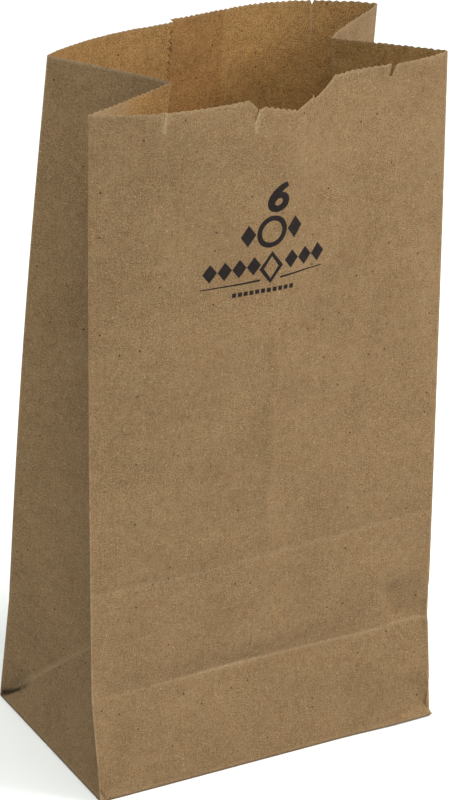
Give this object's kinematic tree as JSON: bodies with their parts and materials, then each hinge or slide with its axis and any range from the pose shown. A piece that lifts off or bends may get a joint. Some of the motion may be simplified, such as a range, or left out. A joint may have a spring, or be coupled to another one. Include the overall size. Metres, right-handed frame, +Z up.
{
  "type": "paper lunch bag",
  "caption": "Brown kraft paper lunch bag, standing open on a block base, with side gussets, a toothed mouth, a thumb notch and an overlapped back seam.",
  "frame": {"origin": "middle of the base, on the surface that the bag stands on", "axes": "+Z up through the mouth, +X across the width, -Y out of the printed front panel"},
  "size_m": [0.1608, 0.0944, 0.2816],
  "materials": {
    "kraft_paper": "uncoated recycled brown kraft, matt, with fine fibres and specks",
    "ink": "matt dark brown printing ink"
  },
  "bodies": {
    "root": {"paper_bag": "kraft_paper"}
  },
  "joints": []
}
